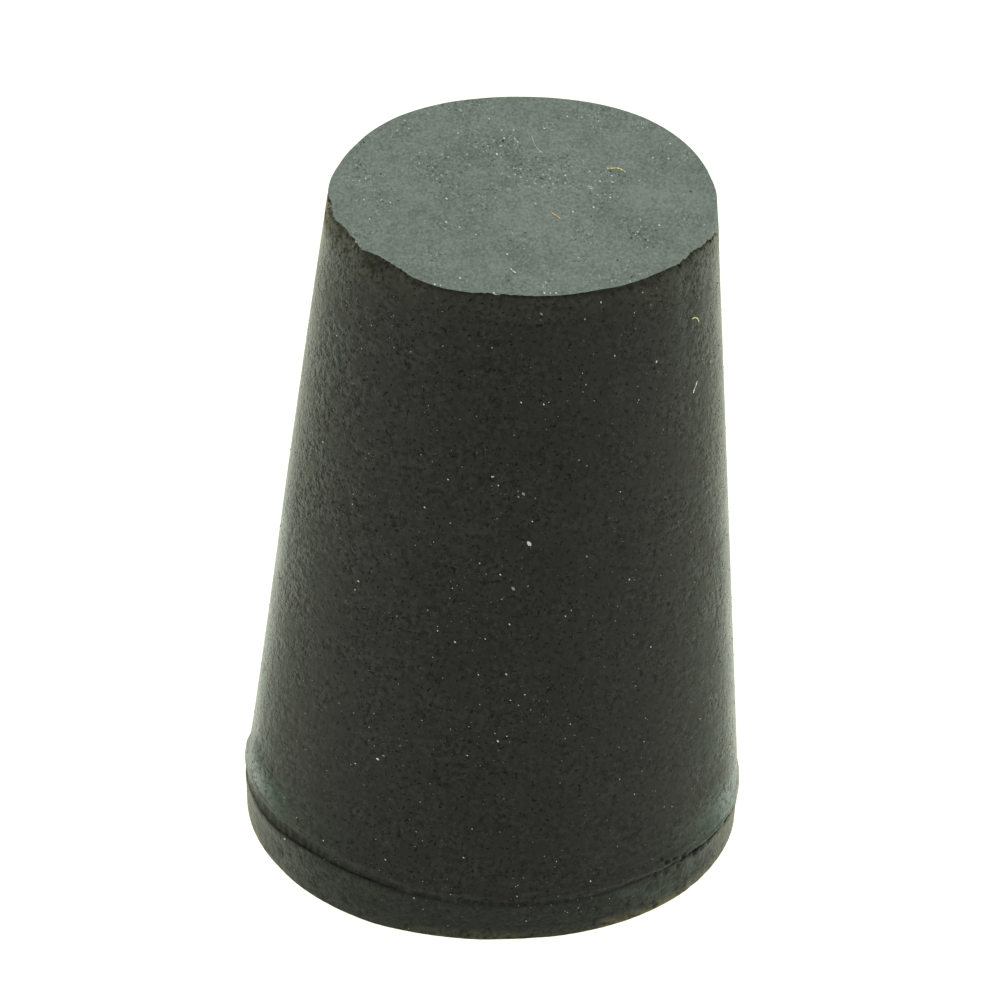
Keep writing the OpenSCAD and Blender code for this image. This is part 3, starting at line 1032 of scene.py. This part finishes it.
# Dark crumbs there
END_CRUMBS = (
    (-0.17, 3.53, 46), (-4.94, 3.2, 38), (4.73, -2.76, 35), (-4.31, 1.1, 35), (4.26, -2.67, 35),
    (1.2, 1.07, 34), (6.26, 0.49, 34), (0.66, -2.5, 33), (2.89, -1.36, 33), (3.79, -4.13, 33),
    (0.14, -5.61, 32), (-3.67, -0.61, 32), (3.81, 1.46, 32), (5.07, -2.13, 32), (-2.73, 1.7, 31),
    (-2.28, 0.68, 31), (3.52, 1.71, 29), (2.21, 3.26, 25),
)
# Grains that stand out on the wall, the pale ones first and then the grey ones: direction in
# degrees from +X, height in mm, and radius in thousandths of a mm
WALL_GRAINS = (
    (-84.4, 15.67, 92), (-119.6, 6.53, 52), (-47.3, 21.63, 46), (-89.9, 8.03, 41),
    (-145.3, 1.58, 40), (-130.6, 12.94, 38), (-19.7, 20.0, 38), (-102.0, 11.73, 36),
    (-88.7, 10.64, 36), (-56.3, 13.62, 35), (-88.5, 12.57, 35), (-95.1, 18.18, 35),
    (-49.5, 10.66, 34), (-65.9, 24.51, 34), (-66.2, 2.15, 33), (-112.9, 16.62, 33),
    (-91.5, 14.47, 33), (-82.0, 20.94, 33), (-151.2, 17.07, 33), (-88.3, 21.03, 32),
    (-107.0, 17.86, 31), (-61.5, 22.4, 30), (-93.3, 17.87, 29), (-96.5, 3.39, 28),
    (-83.8, 16.51, 28), (-115.2, 2.74, 28), (-74.2, 12.76, 28), (-97.0, 14.85, 27),
    (-97.1, 7.4, 27), (-72.2, 8.52, 27), (-95.6, 10.57, 26), (-94.4, 11.97, 26), (-83.7, 1.92, 26),
    (-125.7, 6.02, 26), (-81.2, 0.82, 26),
)
WALL_SMUTS = (
    (-88.0, 13.95, 74), (-86.5, 17.57, 63), (-83.7, 24.34, 52), (-118.1, 6.73, 43),
    (-68.8, 14.94, 42), (-87.8, 17.46, 40), (-70.8, 23.99, 39),
)
# Fibres: how thick each is, and the points it passes through, as (x, y) on the small end or
# (direction, height) on the wall
END_FIBRES = {
    "brown": ((0.9, ((1.50, -1.11), (1.59, -1.24), (1.72, -1.39), (1.83, -1.52))),),
    "gold": ((0.8, ((3.40, 1.86), (3.57, 1.88), (3.77, 1.90), (3.91, 1.80), (4.03, 1.66))),),
    "pale": (
        (0.7, ((0.20, -4.88), (0.28, -5.03), (0.37, -5.13))),
        (0.22, ((0.81, 3.92), (0.89, 3.46), (1.03, 3.06), (1.20, 2.80))),
    ),
}
WALL_FIBRES = {
    "brown": ((0.5, ((-97.6, 24.95), (-96.8, 24.96), (-96.0, 24.96))),),
    "gold": (
        (0.9, ((-31.4, 22.43), (-30.0, 22.39), (-28.6, 22.28), (-27.8, 22.15), (-27.6, 22.08))),
    ),
    "pale": ((0.7, ((-28.9, 19.85), (-29.6, 19.74), (-30.7, 19.61), (-31.2, 19.53))),),
}
FIBRE_LIFT = 0.3  # of a fibre's middle above the surface, in its thicknesses
FIBRE_POINTS, FIBRE_SIDES = 14, 6
TUMBLE_SEED, SQUASH_SEED, TONE_SEED, FIRST_SEED = 11, 12, 21, 3
CRUMBS = 2.4  # crumbs for each grain of dust on the small end
RUBBED_DUST = 28.0  # how much thicker the dust lies in a place that is rubbed all through
UNEVENNESS = 3.0  # the power that makes most grains small or dark and a few large or light
LEAST_GRAIN = 0.3  # the smallest grain's share of the largest
DUST_HEIGHT = 0.1  # mm, of the lowest dust
CLEAR = 50 * MM  # from the axis to a point well outside the wall


class BodySurface:
    """Finds places on the finished body."""

    def __init__(self, sizes):
        mesh = bpy.data.objects["stopper_body"].data
        places = read(mesh.vertices, "co", width=3).reshape(-1, 3).tolist()
        faces = [tuple(face.vertices) for face in mesh.polygons]
        self.tree = BVHTree.FromPolygons(places, faces)
        self.sizes = sizes

    def on_end(self, x, y):
        """The place and the outward direction at a point of the small end, given in mm."""
        return Vector((x * MM, y * MM, self.sizes.body_length)), Vector((0, 0, 1))

    def on_wall(self, degrees, height):
        """The place and the outward direction of the wall in a direction, at a height in mm."""
        middle = Vector((math.tan(self.sizes.axis_lean) * height, 0, height)) * MM
        angle = math.radians(degrees)
        outward = Vector((math.cos(angle), math.sin(angle), 0))
        place, normal, *_ = self.tree.ray_cast(middle + outward * CLEAR, -outward)
        if place is None:
            raise RuntimeError(f"no wall at {degrees} degrees and {height} mm")
        return place, normal


def with_places(name, found, base):
    """A copy of the base with loose points that have an outward direction, a size and a tone."""
    mesh = base.copy()
    mesh.name = name
    plain = len(mesh.vertices)
    mesh.vertices.add(len(found))
    for vertex, (place, *_) in zip(mesh.vertices[plain:], found):
        vertex.co = place
    columns = (
        ("size", "FLOAT", "value", [mark[2] for mark in found], 1),
        ("tone", "FLOAT", "value", [mark[3] for mark in found], 1),
        ("up", "FLOAT_VECTOR", "vector", [part for mark in found for part in mark[1]], 3),
    )
    for field, kind, slot, values, width in columns:
        kept = mesh.attributes.new(field, kind, "POINT")
        kept.data.foreach_set(slot, [0.0] * plain * width + values)
    return mesh


def dust_tree():
    """Grains of uneven size, scattered in clusters over a surface and set at marked points."""
    tree, given = new_tree("Dust grains", (
        ("Density", "Float"), ("Largest", "Float"), ("Cluster", "Float"), ("Least Slope", "Float"),
        ("Most Slope", "Float"), ("Least Height", "Float"), ("Seed", "Int"),
    ))
    position = add(tree, "GeometryNodeInputPosition")
    slope, height = (
        add(tree, "ShaderNodeSeparateXYZ", {"Vector": vector}).outputs["Z"]
        for vector in (add(tree, "GeometryNodeInputNormal"), position)
    )
    size, up, rubbed = (
        add(tree, "GeometryNodeInputNamedAttribute", {"Name": name}, data_type=kind)
        for name, kind in (("size", "FLOAT"), ("up", "FLOAT_VECTOR"), ("rubbed", "FLOAT"))
    )
    # The dust lies in clusters, and thicker in the rubbed places
    pitch = add(tree, MATH, (1.0, given["Cluster"]), operation="DIVIDE")
    clusters = add(tree, NOISE, {"Vector": position, "Detail": 2, "Scale": pitch})
    gathered = add(tree, RANGE, (clusters, 0.42, 0.68, 0.4, 2.2))
    density = add(tree, MATH, (rubbed, RUBBED_DUST, gathered), operation="MULTIPLY_ADD")
    for factor in (
        given["Density"],
        add(tree, MATH, (slope, given["Least Slope"]), operation="GREATER_THAN"),
        add(tree, MATH, (slope, given["Most Slope"]), operation="LESS_THAN"),
        add(tree, MATH, (height, given["Least Height"]), operation="GREATER_THAN"),
    ):
        density = add(tree, MATH, (density, factor), operation="MULTIPLY")
    scattered = add(tree, "GeometryNodeDistributePointsOnFaces", {
        "Mesh": given["Geometry"], "Density": density, "Seed": given["Seed"],
    })
    small, dark = (
        add(tree, MATH, (add(tree, "FunctionNodeRandomValue", {"Seed": seed}, data_type="FLOAT"),
                         UNEVENNESS), operation="POWER")
        for seed in (given["Seed"], TONE_SEED)
    )
    share = add(tree, RANGE, (small, 0.0, 1.0, LEAST_GRAIN, 1.0))
    radius = add(tree, MATH, (share, given["Largest"]), operation="MULTIPLY")
    points = scattered
    for name, kind, value in (
        ("size", "FLOAT", radius), ("up", "FLOAT_VECTOR", scattered.outputs["Normal"]),
        ("tone", "FLOAT", dark),
    ):
        points = add(tree, "GeometryNodeStoreNamedAttribute", {
            "Geometry": points, "Name": name, "Value": value,
        }, data_type=kind, domain="POINT")
    marked = add(tree, "GeometryNodeMeshToPoints", {
        "Mesh": given["Geometry"],
        "Selection": add(tree, MATH, (size, 0.0), operation="GREATER_THAN"),
    })
    tumble, squash = (
        add(tree, "FunctionNodeRandomValue", {0: least, 1: most, "Seed": seed},
            data_type="FLOAT_VECTOR")
        for least, most, seed in (
            ((-0.5, -0.5, -math.pi), (0.5, 0.5, math.pi), TUMBLE_SEED),
            ((0.6, 0.6, 0.4), (1.4, 1.1, 0.8), SQUASH_SEED),
        )
    )
    grains = add(tree, "GeometryNodeInstanceOnPoints", {
        "Points": add(tree, "GeometryNodeJoinGeometry", {"Geometry": [points, marked]}),
        "Instance": add(tree, "GeometryNodeMeshIcoSphere", {"Radius": 1, "Subdivisions": 1}),
        "Rotation": add(tree, "FunctionNodeRotateRotation", {
            "Rotation": add(tree, "FunctionNodeAlignRotationToVector", {"Vector": up}, axis="Z"),
            "Rotate By": add(tree, "FunctionNodeEulerToRotation", {"Euler": tumble}),
        }, rotation_space="LOCAL"),
        "Scale": add(tree, "ShaderNodeVectorMath", {0: squash, "Scale": size}, operation="SCALE"),
    })
    return close_tree(tree, given, grains)


def lint_tree():
    """Round fibres along chains of points."""
    tree, given = new_tree("Lint fibres", (("Diameter", "Float"),))
    chain = add(tree, "GeometryNodeMeshToCurve", {"Mesh": given["Geometry"]})
    smooth = add(tree, "GeometryNodeCurveSplineType", {"Curve": chain}, spline_type="CATMULL_ROM")
    fibres = add(tree, "GeometryNodeCurveToMesh", {
        "Curve": add(tree, "GeometryNodeResampleCurve", {"Curve": smooth, "Count": FIBRE_POINTS}),
        "Profile Curve": add(tree, "GeometryNodeCurvePrimitiveCircle", {
            "Resolution": FIBRE_SIDES,
            "Radius": add(tree, MATH, (given["Diameter"], 2.0), operation="DIVIDE"),
        }),
        "Scale": add(tree, "GeometryNodeInputNamedAttribute", {"Name": "width"},
                     data_type="FLOAT"),
        "Fill Caps": True,
    })
    return close_tree(tree, given, fibres)


# ---------------------------------------------------------------- operators


class STOPPER_OT_body(bpy.types.Operator):
    """Builds the stopper's rubber body"""

    bl_idname = "stopper.body"
    bl_label = "Build Body"

    def execute(self, context):
        sizes, finish = context.scene.stopper_sizes, context.scene.stopper_finish
        wall, end, band = moulded_wall(finish), trimmed_end(finish), foot_band(finish)
        mesh = grown(
            "stopper_body", section_mesh(section_rows(sizes)), turned_form_tree(),
            Around=AROUND, Lean=sizes.axis_lean, Length=sizes.body_length,
            Large_Radius=sizes.large_d / 2, Slope=wall_slope(sizes), Material=wall,
        )
        worn(mesh, sizes)
        body = piece("stopper_body", mesh, end, wall, band)
        give_finishes(mesh)
        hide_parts("stopper")
        return {"FINISHED"}


class STOPPER_OT_dust(bpy.types.Operator):
    """Lays grains of dust on the small end and the wall"""

    bl_idname = "stopper.dust"
    bl_label = "Lay Dust"

    def execute(self, context):
        sizes, finish = context.scene.stopper_sizes, context.scene.stopper_finish
        dust, surface, tree = context.scene.stopper_dust, BodySurface(sizes), dust_tree()
        base = bpy.data.objects["stopper_body"].data
        # Each layer: its name, the grains that are set one by one and their tones, what places
        # them, its density, its largest grain, the size of its clusters in mm, the upward parts
        # of the normals between which it lies, and its material
        layers = (
            ("stopper_end_dust", ((END_GRAINS, 0.7),), surface.on_end, dust.end_density,
             dust.end_grain, 0.9, 0.9, 2, powder("chalk_dust", finish.dust, 0.35)),
            ("stopper_end_crumbs", ((END_CRUMBS, 0.5),), surface.on_end, dust.end_density * CRUMBS,
             dust.end_grain, 0.9, 0.9, 2, powder("rubber_crumbs", finish.crumbs, 0.5)),
            ("stopper_wall_dust", ((WALL_GRAINS, 0.9), (WALL_SMUTS, 0.3)), surface.on_wall,
             dust.wall_density, dust.wall_grain, 1.6, -0.5, 0.5,
             powder("mineral_dust", finish.grit, 0.12)),
        )
        for seed, layer in enumerate(layers, FIRST_SEED):
            name, marked, on, density, largest, cluster, least, most, material = layer
            found = [
                (*on(a, b), radius * MICRON, tone)
                for grains, tone in marked for a, b, radius in grains
            ]
            mesh = grown(
                name, with_places(name + "_places", found, base), tree, Density=density / MM**2,
                Largest=largest, Cluster=cluster * MM, Least_Slope=least, Most_Slope=most,
                Least_Height=DUST_HEIGHT * MM, Seed=seed, Material=material,
            )
            piece(name, mesh, material)
        return {"FINISHED"}


class STOPPER_OT_lint(bpy.types.Operator):
    """Lays a few fibres of lint on the small end and the wall"""

    bl_idname = "stopper.lint"
    bl_label = "Lay Lint"

    def execute(self, context):
        finish, surface = context.scene.stopper_finish, BodySurface(context.scene.stopper_sizes)
        fibre, tree = context.scene.stopper_dust.fibre, lint_tree()
        for hue in END_FIBRES:
            points, links, widths = [], [], []
            for on, fibres in ((surface.on_end, END_FIBRES), (surface.on_wall, WALL_FIBRES)):
                for width, chain in fibres[hue]:
                    first = len(points)
                    links += [(first + i, first + i + 1) for i in range(len(chain) - 1)]
                    lift = fibre * width * FIBRE_LIFT
                    points += [place + up * lift for place, up in (on(*at) for at in chain)]
                    widths += [width] * len(chain)
            mesh = bpy.data.meshes.new(hue + "_paths")
            mesh.from_pydata(points, links, [])
            mesh.attributes.new("width", "FLOAT", "POINT").data.foreach_set("value", widths)
            material = cotton(f"cotton_lint_{hue}", getattr(finish, hue + "_lint"))
            name = f"stopper_{hue}_lint"
            piece(name, grown(name, mesh, tree, Diameter=fibre, Material=material), material)
        return {"FINISHED"}


TENT_TINT = (0.96, 1.0, 0.82, 1)  # the light's tint, a pale green-yellow
FLOOR_GLOW, TENT_GLOW = 1.15, 1.27  # strengths of the floor's and the tent's light
FLOOR_HALF = 1500  # mm, half the floor's side
FLOOR_GAP = 0.01  # mm, of the floor below the stopper
# The camera: where it stands and looks, in mm, its roll in degrees and its focal length
STAND, AIM, ROLL, FOCAL = (0, -297.67, 203.365), (0.0449, 0.0667, 12.604), 1.5066, 367.26


class STOPPER_OT_stage(bpy.types.Operator):
    """Lays the white floor, and sets the light and the camera"""

    bl_idname = "stopper.stage"
    bl_label = "Build Stage"

    def execute(self, context):
        scene = context.scene
        scene.view_settings.view_transform = "Standard"
        # The floor: white card on a light table
        mesh = bpy.data.meshes.new("floor")
        corners = [
            (x * FLOOR_HALF * MM, y * FLOOR_HALF * MM, 0)
            for x, y in ((-1, -1), (1, -1), (1, 1), (-1, 1))
        ]
        mesh.from_pydata(corners, [], [(0, 1, 2, 3)])
        floor = bpy.data.objects.new("floor", mesh)
        floor.location.z = -FLOOR_GAP * MM
        scene.collection.objects.link(floor)
        material, tree = new_material("white_card_floor")
        add(tree, "ShaderNodeOutputMaterial", {"Surface": add(tree, "ShaderNodeBsdfPrincipled", {
            "Base Color": shade(srgb("#595959")), "Roughness": 0.9, "Specular IOR Level": 0.0,
            "Emission Color": TENT_TINT, "Emission Strength": FLOOR_GLOW,
        })})
        mesh.materials.append(material)
        world = bpy.data.worlds.new("white_tent")
        world.use_nodes = True
        tent = world.node_tree.nodes["Background"]
        tent.inputs["Color"].default_value = TENT_TINT
        tent.inputs["Strength"].default_value = TENT_GLOW
        scene.world = world
        lens = bpy.data.cameras.new("camera")
        lens.lens, lens.sensor_width = FOCAL, 36
        lens.clip_start, lens.clip_end = 0.01, 10
        camera = bpy.data.objects.new("camera", lens)
        scene.collection.objects.link(camera)
        camera.location = Vector(STAND) * MM
        camera.rotation_mode = "QUATERNION"
        level = (Vector(AIM) * MM - camera.location).to_track_quat("-Z", "Y")
        camera.rotation_quaternion = level @ Quaternion((0, 0, 1), math.radians(ROLL))
        scene.camera = camera
        return {"FINISHED"}


class STOPPER_PT_panel(bpy.types.Panel):
    """Sizes and finishes of the stopper, and its builders"""

    bl_idname = "STOPPER_PT_panel"
    bl_label = "Rubber Stopper"
    bl_space_type = "VIEW_3D"
    bl_region_type = "UI"
    bl_category = "Stopper"

    def draw(self, context):
        for group in GROUPS:
            box, values = self.layout.box(), getattr(context.scene, group)
            for name in values.bl_rna.properties.keys():
                if name not in ("rna_type", "name"):
                    box.prop(values, name)
        for operator in OPERATORS:
            self.layout.operator(operator.bl_idname)


GROUPS = {
    "stopper_sizes": StopperSizes, "stopper_finish": RubberFinish, "stopper_dust": DustAmounts,
}
OPERATORS = (STOPPER_OT_body, STOPPER_OT_dust, STOPPER_OT_lint, STOPPER_OT_stage)
CLASSES = (*GROUPS.values(), *OPERATORS, STOPPER_PT_panel)


def register():
    for cls in CLASSES:
        bpy.utils.register_class(cls)
    for name, cls in GROUPS.items():
        setattr(bpy.types.Scene, name, bpy.props.PointerProperty(type=cls))


def unregister():
    for name in GROUPS:
        delattr(bpy.types.Scene, name)
    for cls in reversed(CLASSES):
        bpy.utils.unregister_class(cls)


def main():
    register()
    for operator in OPERATORS:
        space, name = operator.bl_idname.split(".")
        getattr(getattr(bpy.ops, space), name)()


if __name__ == "__main__":
    main()
